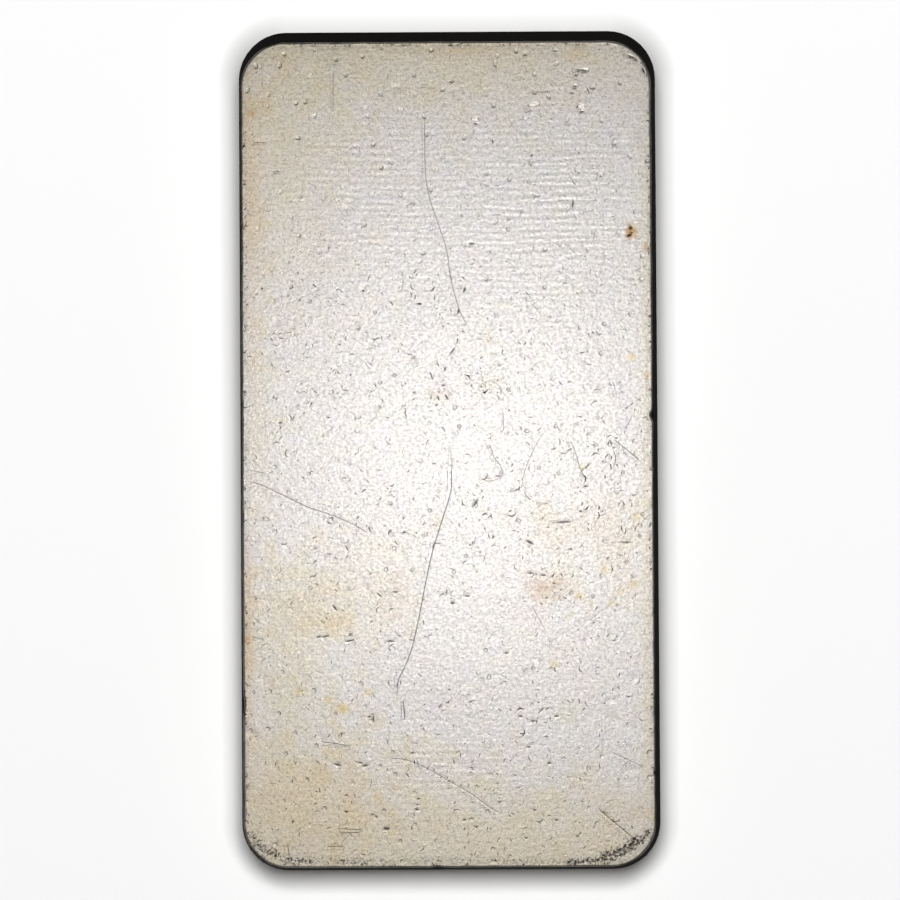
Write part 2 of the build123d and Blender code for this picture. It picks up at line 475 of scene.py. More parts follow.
spots = [
    (298, 691, 5, 4, 0.55, "honey"), (328, 699, 5, 4, 0.6, "honey"), (341.5, 708, 6.5, 5.5, 0.85, "honey"),
    (369, 691, 4.5, 4, 0.55, "honey"), (631, 356, 4, 4, 0.7, "honey"), (635, 516, 4.5, 4.5, 0.6, "honey"),
    (581, 466, 3.5, 3.5, 0.5, "honey"), (553, 663, 5, 5, 0.5, "honey"), (579, 595, 5, 4, 0.6, "honey"),
    (604, 568, 4, 4, 0.55, "honey"), (632, 583, 4, 4, 0.5, "honey"), (611, 602, 4, 4, 0.45, "honey"),
    (569, 614, 4, 4, 0.5, "moss"), (540, 588, 8, 5, 0.35, "brown"), (559, 580, 7, 5, 0.3, "brown"),
    (534, 596, 4, 3, 0.4, "brown"), (556, 597, 7, 3, 0.3, "brown"), (629.5, 231, 5.5, 8, 0.9, "rust"),
    (645, 246, 2.5, 5, 0.6, "rust"), (646, 375, 2.5, 5, 0.5, "rust"), (249, 78, 4, 4, 0.5, "moss"),
    (488, 336, 5, 12, 0.2, "brown"), (340, 730, 5, 6, 0.3, "honey"), (327, 776, 6, 8, 0.35, "honey"),
    (252, 113, 5, 4, 0.5, "rust"), (247, 640, 3, 6, 0.5, "rust"), (620, 590, 5, 5, 0.35, "honey"),
]

# Black tarnish, most of it along the face's edge: paths in photo pixels, half width in mm and strength.
soots = [
    ([(568, 861), (590, 860), (618, 854), (637, 843), (648, 831)], 0.36, 1.0),
    ([(604, 855), (622, 849), (636, 839)], 0.62, 0.95), ([(253, 836), (262, 847), (276, 855)], 0.55, 0.80),
    ([(281, 858), (296, 860), (312, 861)], 0.32, 0.85), ([(336, 860), (366, 861)], 0.30, 0.75),
    ([(244, 690), (245, 717)], 0.16, 0.9), ([(396, 860), (445, 860)], 0.28, 0.50),
    ([(450, 859), (520, 860), (562, 860)], 0.28, 0.48), ([(310, 859), (395, 860)], 0.24, 0.46),
    ([(624, 55), (637, 61)], 0.10, 0.9), ([(490, 383), (492, 385)], 0.12, 0.8),
    ([(496, 390), (500, 396)], 0.14, 0.75), ([(641, 67), (643, 72)], 0.14, 0.7),
    ([(629, 226.5), (630, 227.5)], 0.15, 1.1),
    ([(627.5, 234.5), (629.5, 233.5)], 0.16, 1.1), ([(437, 862), (433, 866)], 0.12, 0.7),
    ([(246, 130), (247, 330)], 0.07, 0.55), ([(650, 120), (652, 330)], 0.10, 0.62),
    ([(652, 400), (654, 720)], 0.07, 0.6), ([(655, 730), (655, 800)], 0.08, 0.62),
    ([(500, 385), (500, 397)], 0.3, 0.45), ([(546, 571), (548, 575)], 0.2, 0.45),
]

# Where the rolling waves show: middle and half sizes in photo pixels, and strength.
rippled = [
    (550, 205, 95, 100, 1.0), (380, 190, 110, 90, 0.75), (450, 770, 160, 60, 0.45),
]

# How close the small marks lie, from the foot to the head, and where there are more or fewer of
# them: middle and half sizes in photo pixels, and how many more.
wornAlong = ((-44, -30, -8, 10, 30, 44), (1.00, 0.95, 1.10, 1.05, 0.50, 0.35))
wornPatches = [
    (440, 390, 26, 18, 0.8), (486, 378, 18, 20, 0.9), (425, 298, 22, 30, 0.8), (468, 288, 30, 18, 0.5),
    (479, 196, 22, 14, 0.8), (312, 292, 24, 16, 0.6), (496, 500, 30, 20, 0.5), (377, 503, 30, 16, 0.5),
    (541, 716, 50, 14, 0.9), (448, 700, 18, 24, 0.8), (440, 768, 44, 16, 0.7), (545, 586, 30, 18, 0.5),
    (474, 548, 24, 20, 0.5), (600, 470, 30, 40, 0.4), (490, 600, 40, 30, -0.5), (480, 655, 34, 22, -0.5),
    (380, 440, 50, 30, -0.3), (560, 400, 50, 30, -0.3), (300, 130, 70, 60, -0.4),
    (300, 640, 50, 50, -0.4),
]

# How the film, the dirt and the painted shade by the edges lie on the bar as a whole. Distances are in mm.
tarnish = {
    "bloom": (2.0, 0.35),      # how sharply a patch ends, and how ragged it is
    "spot": (4.0, 0.25),
    "cloud": (0.012, 0.010, 0.030),   # how far red, green and blue stray by themselves
    "speckBand": (0.55, 0.22, 0.02, 0.14),   # black specks lie between these distances from the edge
    "speckStrength": 0.85,
    "rimDarkening": 0.40,           # the face darkens towards its edge by this share
    "rimDarkeningReach": 0.20,
    "rimLine": 0.88,           # painted shade: the rolled edge itself darkens by this share, between two distances in
    "rimLineReach": (0.13, 0.04),
    "wallFilm": (0.97, 0.95, 0.90),
    "paintedTopRingShade": (0.35, 0.35, 0.35, 0.5),     # painted shade: the rings round the face's rolled edge and the walls' first ring are this share as bright
    "wallWorn": 0.5,
    "wallDrag": 0.4,
}


def patchPlace(points, x, y, halfX, halfY):
    # how far points lie from a patch's middle, in its own half sizes
    return (points - onFace((x, y))) * photo["pixelsPerMm"] / (halfX, halfY)


def paintFilm(points):
    # the tint of the face's film: each patch pulls it towards a tint by strength * exp(-q^n), where
    # q is the distance from the patch's middle in its own half sizes, made ragged by noise
    film = np.ones((len(points), 3))
    ragged = softNoise(points, 1.6, 301, 4)
    fine = softNoise(points, 0.5, 311, 3)
    for patches, kind, noise in ((blooms, "bloom", ragged), (spots, "spot", fine)):
        power, rough = tarnish[kind]
        for x, y, halfX, halfY, strength, tint in patches:
            offset = patchPlace(points, x, y, halfX, halfY)
            q = np.hypot(offset[:, 0], offset[:, 1]) * (1 + rough * noise)
            share = strength * np.exp(-np.maximum(q, 0) ** power)
            film *= 1 + share[:, None] * (np.array(tints[tint]) - 1)
    for channel, strength in enumerate(tarnish["cloud"]):
        film[:, channel] *= 1 + strength * softNoise(points, 1.4, 321 + 7 * channel, 3)
    return film


def paintRim(points, inward):
    # how bright the face stays by its edge: darker towards it by 1 - a * exp(-d / reach), patchy, and with
    # painted shade on the rolled edge itself
    patchy = np.clip(0.5 + 0.5 * softNoise(points, 0.7, 341, 3), 0, 1)
    edgeDarkening = tarnish["rimDarkening"] * patchy * np.exp(-inward / tarnish["rimDarkeningReach"])
    # the second factor is the painted shade on the rolled edge
    return (1 - edgeDarkening) * (1 - tarnish["rimLine"] * smooth(*tarnish["rimLineReach"], inward))


def paintSoot(points, inward):
    # how thickly black tarnish lies: along each path by exp(-(d/half)^2), and ragged specks all
    # along the face's edge
    soot = np.zeros(len(points))
    for path, half, strength in soots:
        path = curveThrough(onFace(path))
        near = around(points, path, 3 * half)
        away = nearestOn(path, points[near])[0]
        soot[near] = np.maximum(soot[near], strength * np.exp(-(away / half) ** 2))
    ragged = softNoise(points, 0.45, 331, 3)
    inner, full, outer, edge = tarnish["speckBand"]
    band = smooth(inner, full, inward) * smooth(outer, edge, inward)
    return np.maximum(soot, band * smooth(0.1, 0.7, ragged) * tarnish["speckStrength"])


def rippleField(points):
    # how strongly the waves show: the most that any patch gives, strength * exp(-q^2)
    share = np.zeros(len(points))
    for x, y, halfX, halfY, strength in rippled:
        offset = patchPlace(points, x, y, halfX, halfY)
        share = np.maximum(share, strength * np.exp(-(offset**2).sum(1)))
    return share


def wornField(points):
    # how close the small marks lie: a run of shares along the bar, times 1 + more * exp(-q^2) for
    # each patch
    share = np.interp(points[:, 1], *wornAlong)
    for x, y, halfX, halfY, more in wornPatches:
        offset = patchPlace(points, x, y, halfX, halfY)
        share = share * (1 + more * np.exp(-(offset**2).sum(1)))
    return share


def addMesh(name, points, faces):
    # points in mm, and the faces as arrays of point numbers, with one row to a face
    loops = np.concatenate([part.ravel() for part in faces])
    totals = np.concatenate([np.full(len(part), part.shape[1]) for part in faces])
    mesh = bpy.data.meshes.new(name)
    mesh.vertices.add(len(points))
    mesh.vertices.foreach_set("co", (points * mm).astype(np.float32).ravel())
    mesh.loops.add(len(loops))
    mesh.loops.foreach_set("vertex_index", loops.astype(np.int32))
    mesh.polygons.add(len(totals))
    mesh.polygons.foreach_set("loop_start", (np.cumsum(totals) - totals).astype(np.int32))
    mesh.polygons.foreach_set("loop_total", totals.astype(np.int32))
    mesh.polygons.foreach_set("use_smooth", np.ones(len(totals), bool))
    mesh.update(calc_edges=True)
    piece = bpy.data.objects.new(name, mesh)
    bpy.context.scene.collection.objects.link(piece)
    return piece


def setField(piece, name, values):
    # one value to a point: a number, or a row of three for a place or of four for a colour
    width = 1 if values.ndim == 1 else values.shape[1]
    kind, key = {1: ("FLOAT", "value"), 3: ("FLOAT_VECTOR", "vector"), 4: ("FLOAT_COLOR", "color")}[width]
    layer = piece.data.attributes.new(name, kind, "POINT")
    layer.data.foreach_set(key, values.astype(np.float32).ravel())


def setMap(piece, name, corners):
    # one place on a map to each corner of each face
    flat = np.concatenate([part.reshape(-1, 2) for part in corners])
    piece.data.uv_layers.new(name=name).data.foreach_set("uv", flat.astype(np.float32).ravel())


def gridPlaces(across, along):
    # every point of a grid, row by row, as steps from the middle, -1 to 1 both ways
    rows, columns = np.mgrid[0:along + 1, 0:across + 1]
    return columns.ravel() * 2 / across - 1, rows.ravel() * 2 / along - 1


def gridRing(across, along):
    # the points round a grid's outline, anticlockwise from its low corner: their numbers in the
    # grid, and their steps from the middle both ways
    left, foot = np.zeros(along, int), np.zeros(across, int)
    column = np.concatenate([np.arange(across), left + across, np.arange(across, 0, -1), left])
    row = np.concatenate([foot, np.arange(along), foot + along, np.arange(along, 0, -1)])
    return row * (across + 1) + column, column * 2 / across - 1, row * 2 / along - 1


def gridQuads(across, along):
    # the corners of each square of a grid, anticlockwise
    first = (np.arange(along)[:, None] * (across + 1) + np.arange(across)[None, :]).ravel()
    return np.stack([first, first + 1, first + across + 2, first + across + 1], axis=1)


def layFace(outline, rimIds):
    # the face's points: an even grid inside the rounded outline, then drawn towards its rim, where
    # the distance d becomes d * (0.25 + 0.75 * d / reach), and towards each mark
    face = plan(*gridPlaces(ingot["cellsAcross"], ingot["cellsAlong"]), *outline)
    inward, outward = edgeDistance(face, outline)
    near = np.clip(inward / ingot["rimReach"], 0, 1)
    face += outward * (inward * (1 - (0.25 + 0.75 * near)) * (near < 1))[:, None]
    rim = face[rimIds].copy()
    for path, half, _, _ in scratches.values():
        drawTowards(face, curveThrough(onFace(path)), half)
    for x, y, long, half, _, angle in knocks:
        drawTowards(face, knockPath(x, y, long, angle), half)
    face[rimIds] = rim
    return face


def cutRelief(face, inward, rimIds):
    # the face's height in mm from its own level: shallow hills, dings, scratches and knocks, a lip
    # along the edge, high * exp(-((d - inward) / half)^2), and the fall to it, -fall * exp(-d / reach)
    height = sum(high * softNoise(face, size, seed) for size, high, seed in ingot["hills"])
    randomDings(face, height, **ingot["dings"])
    for path, half, deep, _ in scratches.values():
        cutMark(face, height, curveThrough(onFace(path)), half, deep * ingot["scratchRelief"])
    for x, y, long, half, deep, angle in knocks:
        share = ingot["cleanRelief"] if isClean(y, half) else ingot["knockRelief"]
        cutMark(face, height, knockPath(x, y, long, angle), half, deep * share)
    lip = ingot["lip"]
    high = np.clip(lip["high"] * softNoise(face, 1.1, 71, 4), 0, lip["most"])
    height += high * np.exp(-((inward - lip["inward"]) / lip["half"]) ** 2)
    height -= ingot["rimFall"] * np.exp(-inward / ingot["fallReach"])
    height = np.minimum(height - ingot["reliefRoom"], 0)
    height[rimIds] = ingot["rimBurr"] - ingot["reliefRoom"]
    return height


def edgeWear(face):
    # how far the face's edge is rubbed back: unevenly all round, and deep * exp(-(d/half)^2) at nicks
    wear = ingot["rimWear"] * (1 + 1.3 * softNoise(face, 1.3, 81, 4))
    for x, y, half, deep in nicks:
        wear += deep * np.exp(-((face - onFace((x, y))) ** 2).sum(1) / half**2)
    return np.clip(wear, 0, 0.4)


def raised(flat, z):
    # points of a plan lifted to height z
    return np.column_stack([flat, np.broadcast_to(z, len(flat))])


def wallRings(rim, outward, wear, steps):
    # rings from under the rim to the walls' foot: the outline at each height, set back by the rim's
    # wear, which fades as exp(-d / reach), and by shallow dents
    tall, top = ingot["thickness"], ingot["thickness"] - ingot["reliefRoom"]
    roll = ingot["faceRoll"] - 0.03   # the part of it that is left under the relief's room
    heights = [*(top - roll * (1 - np.cos(np.radians(ingot["topTurns"])))),
               *np.linspace(tall - ingot["wallTop"], ingot["baseRoll"] * 1.6, ingot["wallRings"])]
    bulge = softNoise(rim, 5.0, 91, 3)
    rings = []
    for z in heights:
        fade = math.exp(-max(top - z, 0) / ingot["wearReach"])
        dent = ingot["wallDent"] * (bulge - 1) * math.sin(math.pi * min(1, (tall - z) / tall))
        small = softNoise(rim + z * 1.7, 1.6, 95, 3) - 1
        dent = dent + ingot["wallDent"] * small * (z < tall - 0.6)
        ring = plan(*steps, *ringSizes(np.float64(z))) + outward * (dent - wear * fade)[:, None]
        rings.append(raised(ring, z))
    return rings


def footRings(steps):
    # coarser rings round the rolled edge of the base
    roll = ingot["baseRoll"]   # the first ring lies just above it
    heights = [roll * 1.15, *(roll * (1 - np.sin(np.radians(ingot["footTurns"]))))]
    return [raised(plan(*steps, *ringSizes(np.float64(z))), z) for z in heights]


def numberRings(rings, start):
    # the numbers of each ring's points, and the first number after them
    counts = np.cumsum([start, *(len(ring) for ring in rings)])
    return [np.arange(a, b) for a, b in zip(counts[:-1], counts[1:])], int(counts[-1])


# The flat sheet that the finish is baked on: each part's low corner and its scale, in pixels of a
# square sheet.
bakeSheet = {
    "pixels": 1024,
    "face": (10, 10, 10.5),
    "base": (482, 10, 5.45),
    "walls": ((926, 10), (744, 10), (926, 420), (834, 10)),  # foot, right, head, left
    "wallScale": 9.2,
    "baseSkin": 150,       # mm that the base is shifted on the skin, so that its marks are its own
}


def coverIngot(points, ringIds, lowIds, baseStart):
    # the faces, part by part, and each corner's place on the flat sheet and on the skin, which the
    # finish reads, in mm: from the face's middle, and on a wall how far round and how far down
    across, along, coarser = ingot["cellsAcross"], ingot["cellsAlong"], ingot["coarser"]
    faces, skins, sheets = [], [], []

    # each ring's place on the unrolled wall: how far round, and how far down
    rim = points[ringIds[0]]
    wayRound = np.concatenate([[0], np.cumsum(np.linalg.norm(np.roll(rim, -1, 0) - rim, axis=1))])
    probe = np.array([points[ids[len(ids) // 12]] for ids in ringIds + lowIds])
    wayDown = np.concatenate([[0], np.cumsum(np.linalg.norm(np.diff(probe, axis=0), axis=1))])
    sideStarts = np.array([0, across, across + along, 2 * across + along])

    def addFaces(corners, skin, sheet):
        faces.append(corners)
        skins.append(skin)
        sheets.append(sheet / bakeSheet["pixels"])

    def addFlat(corners, part, mirror, shift):
        # squares of a flat side, seen from outside, shifted along the skin
        x, y, scale = bakeSheet[part]
        at = points[corners][..., :2] * (mirror, 1)
        middle = (ingot["footWidth"] / 2, ingot["length"] / 2)
        addFaces(corners, at + (shift, 0), (at + middle) * scale + (x, y))

    def addWall(corners, turns, downs, first):
        # turns and downs give each corner's place on the unrolled wall
        skin = np.stack([turns, np.broadcast_to(downs, turns.shape)], axis=-1)
        side = np.searchsorted(sideStarts, first, side="right") - 1
        corner = np.array(bakeSheet["walls"])[side][:, None, :]
        sheet = np.stack([skin[..., 1], skin[..., 0] - wayRound[sideStarts[side]][:, None]], axis=-1)
        addFaces(corners, skin, corner + sheet * bakeSheet["wallScale"])

    def addStrips(ids, skipped, step):
        # squares between rings, whose points are step cells apart
        turns = wayRound[::step]
        k = np.arange(len(turns) - 1)
        for number, (upper, lower) in enumerate(zip(ids[:-1], ids[1:]), skipped):
            corners = np.stack([upper, lower, np.roll(lower, -1), np.roll(upper, -1)], axis=1)
            top, bottom = wayDown[number], wayDown[number + 1]
            addWall(corners, np.stack([turns[k], turns[k], turns[k + 1], turns[k + 1]], axis=1),
                    np.array([top, bottom, bottom, top]), k * step)

    addFlat(gridQuads(across, along), "face", 1, 0)
    addStrips(ringIds, 0, 1)
    addStrips(lowIds, len(ringIds), coarser)

    # one row of faces with an extra point for each finer cell, where the mesh gets coarser
    last, lower = np.append(ringIds[-1], ringIds[-1][0]), lowIds[0]
    back = range(coarser, 0, -1)
    fans = [last[0:-1:coarser], lower, np.roll(lower, -1), *(last[k::coarser] for k in back)]
    first = np.arange(len(lower)) * coarser
    top, bottom = wayDown[len(ringIds) - 1], wayDown[len(ringIds)]
    addWall(np.stack(fans, axis=1), wayRound[first[:, None] + np.array([0, 0, coarser, *back])],
            np.array([top, bottom, bottom, *[top] * coarser]), first)

    # the base looks down
    baseQuads = baseStart + gridQuads(across // coarser, along // coarser)[:, ::-1]
    addFlat(baseQuads, "base", -1, bakeSheet["baseSkin"])
    return faces, skins, sheets


def addFields(piece, face, inward, scratchLayers, ringCount):
    # what the finish reads at each point: values for the face's points, and one for all the rest
    rest = len(piece.data.vertices) - len(face)

    def spread(name, values, atRest=0.0):
        setField(piece, name, np.concatenate([values, np.full((rest, *values.shape[1:]), atRest)]))

    spread("wall", np.zeros(len(face)), 1.0)
    spread("knockPlace", knockPlaces(face))
    for number, (lines, shares) in enumerate(scratchLayers):
        spread(f"scratchLine{number}", lines, marks["farOff"])
        spread(f"scratchShare{number}", shares)
    spread("soot", paintSoot(face, inward))
    spread("ripple", rippleField(face))
    spread("drag", smooth(6, 24, np.abs(face[:, 1])) * 0.85 + 0.15, tarnish["wallDrag"])
    spread("worn", wornField(face), tarnish["wallWorn"])
    wallFilm = np.full((rest, 3), tarnish["wallFilm"])
    # painted shade on the rolled edge's rings and the walls' first ring
    paintedRingShades = np.repeat(tarnish["paintedTopRingShade"], ringCount)
    wallFilm[:len(paintedRingShades)] *= paintedRingShades[:, None]
    # the face's film carries the darkening by its edge and the painted shade on its rolled edge; the
    # walls' carries their painted ring shade
    film = np.vstack([paintFilm(face) * paintRim(face, inward)[:, None], wallFilm])
    setField(piece, "film", np.column_stack([film, np.ones(len(film))]))


def makeIngot():
    # the face with its relief, fine rings down the walls, and a coarser mesh from there over the base
    across, along, coarser = ingot["cellsAcross"], ingot["cellsAlong"], ingot["coarser"]
    outline = ringSizes(ingot["thickness"])
    rimIds, *rimSteps = gridRing(across, along)
    face = layFace(outline, rimIds)
    inward, outward = edgeDistance(face, outline)
    print("face laid out:", len(face), "points")

    height = cutRelief(face, inward, rimIds)
    scratchLayers = scratchPlaces(face)
    wear = edgeWear(face)
    face = face - outward * (wear * np.clip(1 - inward / ingot["wearReach"], 0, 1))[:, None]
    print("relief cut")

    lowIds, *lowSteps = gridRing(across // coarser, along // coarser)
    rings = wallRings(face[rimIds], outward[rimIds], wear[rimIds], rimSteps)
    lowRings = footRings(lowSteps)
    base = plan(*gridPlaces(across // coarser, along // coarser), *ringSizes(np.float64(0)))
    points = np.vstack([raised(face, ingot["thickness"] + height), *rings, *lowRings, raised(base, 0.0)])
    ringNumbers, start = numberRings(rings, len(face))
    lowNumbers, start = numberRings(lowRings, start)
    faces, skins, sheets = coverIngot(points, [rimIds, *ringNumbers], [*lowNumbers, start + lowIds], start)
    piece = addMesh("ingotCast", points, faces)
    setMap(piece, "OFBake", sheets)
    setMap(piece, "skin", skins)
    triangles = sum(len(part) * (part.shape[1] - 2) for part in faces)
    print("mesh made:", len(points), "points,", triangles, "triangles")
    addFields(piece, face, inward, scratchLayers, len(rimIds))
    return piece


class Nodes:
    # a short way to write a node tree: make a node, set its sockets, feed it from others
    def __init__(self, tree):
        self.tree = tree

    def put(self, socket, value):
        if isinstance(value, bpy.types.NodeSocket):
            self.tree.links.new(value, socket)
        else:
            socket.default_value = value

    def add(self, kind, settings=None, inputs=None, **sockets):
        node = self.tree.nodes.new(kind)
        for key, value in (settings or {}).items():
            setattr(node, key, value)
        for number, value in enumerate(inputs or ()):
            self.put(node.inputs[number], value)
        for key, value in sockets.items():
            self.put(node.inputs[key], value)
        return node

    def math(self, operation, *values):
        return self.add("ShaderNodeMath", {"operation": operation}, values).outputs[0]

    def vector(self, operation, *values):
        return self.add("ShaderNodeVectorMath", {"operation": operation}, values).outputs[0]

    def times(self, *values):
        # all the values multiplied
        total = values[0]
        for value in values[1:]:
            total = self.math("MULTIPLY", total, value)
        return total

    def timesPlus(self, value, factor, more):
        return self.math("MULTIPLY_ADD", value, factor, more)

    def field(self, name, kind="Fac"):
        return self.add("ShaderNodeAttribute", {"attribute_name": name}).outputs[kind]

    def parts(self, vector):
        return self.add("ShaderNodeSeparateXYZ", None, (vector,)).outputs

    def ramp(self, value, low, high, atLow=0.0, atHigh=1.0):
        # atLow at low, atHigh at high, with no corner between them
        node = self.add("ShaderNodeMapRange", {"interpolation_type": "SMOOTHSTEP"}, (value, low, high))
        node.inputs["To Min"].default_value, node.inputs["To Max"].default_value = atLow, atHigh
        return node.outputs["Result"]

    def blend(self, share, first, second, mode="MIX"):
        node = self.add("ShaderNodeMix", {"data_type": "RGBA", "blend_type": mode}, (share,))
        self.put(node.inputs[6], first)
        self.put(node.inputs[7], second)
        return node.outputs[2]

    def noise(self, where, scale, detail=2.0, distortion=0.0, roughness=0.5, stretch=None):
        if stretch:
            where = self.vector("MULTIPLY", where, (*stretch, 1.0))
        node = self.add("ShaderNodeTexNoise", {"noise_dimensions": "2D"}, None, Vector=where, Scale=scale,
                        Detail=detail, Roughness=roughness, Distortion=distortion)
        return node.outputs["Fac"]


silver = {
    "cleanColour": (0.93, 0.888, 0.860, 1),
    "sootColour": (0.035, 0.028, 0.032, 1),
    "roughness": 0.255,
    "sootRougher": 0.25,
    "wallSmoother": 0.08,
    # heights of the fine relief, in mm
    "grain": 0.0020,
    "drag": 0.0048,
    "dapple": 0.0075,
    "ripple": 0.0044,
    "upright": 0.009,
    "scratch": 0.008,
    "knock": 0.018,
    "shine": 0.036,
    # how much darker a scratch is, and how bright the dirt in a knock is
    "scratchShade": 0.74,
    "knockDirt": 0.20,
    "ripplePitch": 0.74,    # mm between waves, and how far they drift, in radians
    "rippleDrift": 7.0,
    # patterns: how fine they are, to the mm, then their detail, distortion and roughness, and how
    # much finer they are across and along the bar
    "crowdNoise": (0.6, 3, 0.0, 0.6),
    "grainNoise": (2.7, 1, 0.3, 0.5),
    "dragNoise": (2.3, 1, 0.4, 0.5, (0.28, 1.0)),
    "dappleNoise": (1.6, 1),
    "driftNoise": (1.0, 1, 0.0, 0.5, (0.10, 0.30)),
    "breakNoise": (1.0, 2, 0.0, 0.5, (0.35, 0.9)),
    "uprightNoise": (1.0, 2, 0.3, 0.5, (4.5, 0.35)),
    "mottleNoise": (3.6, 2, 0.0, 0.6, (0.8, 1.0)),
    "cloudNoise": (1.3, 2, 0.0, 0.7),
    "sootNoise": (3.6, 4, 0.5, 0.75),
    # layers of small marks: mm between marks, longest and half width in mm, bend, depth in mm,
    # share kept, how much darker a mark is, and how far its layer follows the worn places
    "flecks": (
        (0.42, 0.16, 0.060, 0.4, 0.0006, 0.36, 0.17, 1.0),
        (0.70, 0.42, 0.064, 0.5, 0.0014, 0.50, 0.54, 1.0),
        (1.3, 0.17, 0.125, 0.0, 0.0080, 0.40, 0.10, 0.2),
        (1.35, 0.66, 0.072, 1.1, 0.0028, 0.55, 0.50, 0.9),
        (2.0, 1.10, 0.046, 0.25, 0.0022, 0.50, 0.40, 0.7),
        (2.4, 0.36, 0.22, 0.3, 0.0120, 0.60, 0.04, -0.9),
    ),
}


def fleckLayer(n, skin, number, gap, longest, half, bend):
    # one mark in each cell of a random tiling: an ellipse round the cell's own point, turned at random
    # and bent by x^2, which is 1 in its middle and 0 outside; and a number, random from mark to mark
    moved = n.vector("ADD", skin, (13.7 * number, 7.1 * number, 0))
    cells = n.add("ShaderNodeTexVoronoi", {"voronoi_dimensions": "2D"}, None, Vector=moved, Scale=1 / gap)
    random = n.add("ShaderNodeSeparateColor", None, (cells.outputs["Color"],)).outputs
    offset = n.vector("SUBTRACT", moved, cells.outputs["Position"])
    turned = n.add("ShaderNodeVectorRotate", {"rotation_type": "Z_AXIS"}, None, Vector=offset,
                   Angle=n.times(random[0], 6.28))
    part = n.parts(turned.outputs[0])
    stretch = n.timesPlus(n.math("POWER", random[1], 2.0), longest - half, half)
    bent = n.timesPlus(n.math("POWER", part[0], 2.0), bend, part[1])
    q = n.math("ADD", n.math("POWER", n.math("DIVIDE", part[0], stretch), 2.0),
               n.math("POWER", n.math("DIVIDE", bent, half), 2.0))
    return n.ramp(q, 0.1, 1.25, 1.0, 0.0), random[2]


def smallMarks(n, skin, wall, crowd):
    # all the layers of small marks: height falls by depth * strength, and the colour is multiplied
    # by 1 - shade * strength; fewer of them lie where few crowd, and on the walls
    height, dark = 0.0, 1.0
    for number, (gap, longest, half, bend, deep, kept, shade, follow) in enumerate(silver["flecks"]):
        mark, luck = fleckLayer(n, skin, number, gap, longest, half, bend)
        strength = n.times(mark, n.ramp(luck, 1 - kept, 1.35 - kept),
                           n.timesPlus(crowd, follow, 1 - follow), n.timesPlus(wall, -0.7, 1.0))
        height = n.timesPlus(strength, -deep, height)
        dark = n.times(dark, n.timesPlus(strength, -shade, 1.0))
    return height, dark


def largeMarks(n, height, dark):
    # long scratches: a rounded groove across each line
    for layer in "01":
        line = n.math("ABSOLUTE", n.field("scratchLine" + layer))
        groove = n.times(n.ramp(line, 0.0, 1.2, 1.0, 0.0), n.field("scratchShare" + layer))
        height = n.timesPlus(groove, -silver["scratch"], height)
        dark = n.times(dark, n.timesPlus(groove, -silver["scratchShade"], 1.0))

    # knocks: oval pits, each in its own frame, dark with dirt
    place = n.parts(n.field("knockPlace", "Vector"))
    q = n.math("ADD", n.math("POWER", place[0], 2.0), n.math("POWER", place[1], 2.0))
    pit = n.times(n.ramp(q, 0.1, 1.5, 1.0, 0.0), n.math("MAXIMUM", place[2], 0.0))
    height = n.timesPlus(n.ramp(pit, 0.0, 0.5), -silver["knock"], height)
    dark = n.times(dark, n.ramp(pit, 0.5, 0.75, 1.0, silver["knockDirt"]))

    # a clean knock gets deeper towards the foot, so that its sloping floor shines
    slope = n.times(n.math("SUBTRACT", 1.0, place[1]), n.math("MINIMUM", place[2], 0.0))
    slope = n.times(n.ramp(q, 0.6, 1.4, 1.0, 0.0), slope)
    return n.timesPlus(slope, silver["shine"], height), dark


def fineRelief(n, skin, wall, crowd, height):
    # grain, drag lines across the bar, and dapples
    grain = n.ramp(n.noise(skin, *silver["grainNoise"]), 0.42, 0.72)
    height = n.timesPlus(n.times(grain, crowd), silver["grain"], height)
    drag = n.noise(skin, *silver["dragNoise"])
    height = n.timesPlus(drag, n.times(n.field("drag"), silver["drag"]), height)
    height = n.timesPlus(n.noise(skin, *silver["dappleNoise"]), silver["dapple"], height)

    # rolling waves, sin(2 pi y / pitch + drift), broken here and there
    turns = n.times(n.parts(skin)[1], 2 * math.pi / silver["ripplePitch"])
    turns = n.timesPlus(n.noise(skin, *silver["driftNoise"]), silver["rippleDrift"], turns)
    broken = n.ramp(n.noise(skin, *silver["breakNoise"]), 0.36, 0.62)
    wave = n.times(n.math("SINE", turns), n.times(broken, n.field("ripple")))
    height = n.timesPlus(wave, silver["ripple"], height)

    # the walls were dragged upright as the bar left its mould
    upright = n.noise(skin, *silver["uprightNoise"])
    return n.timesPlus(n.times(upright, wall), silver["upright"], height)


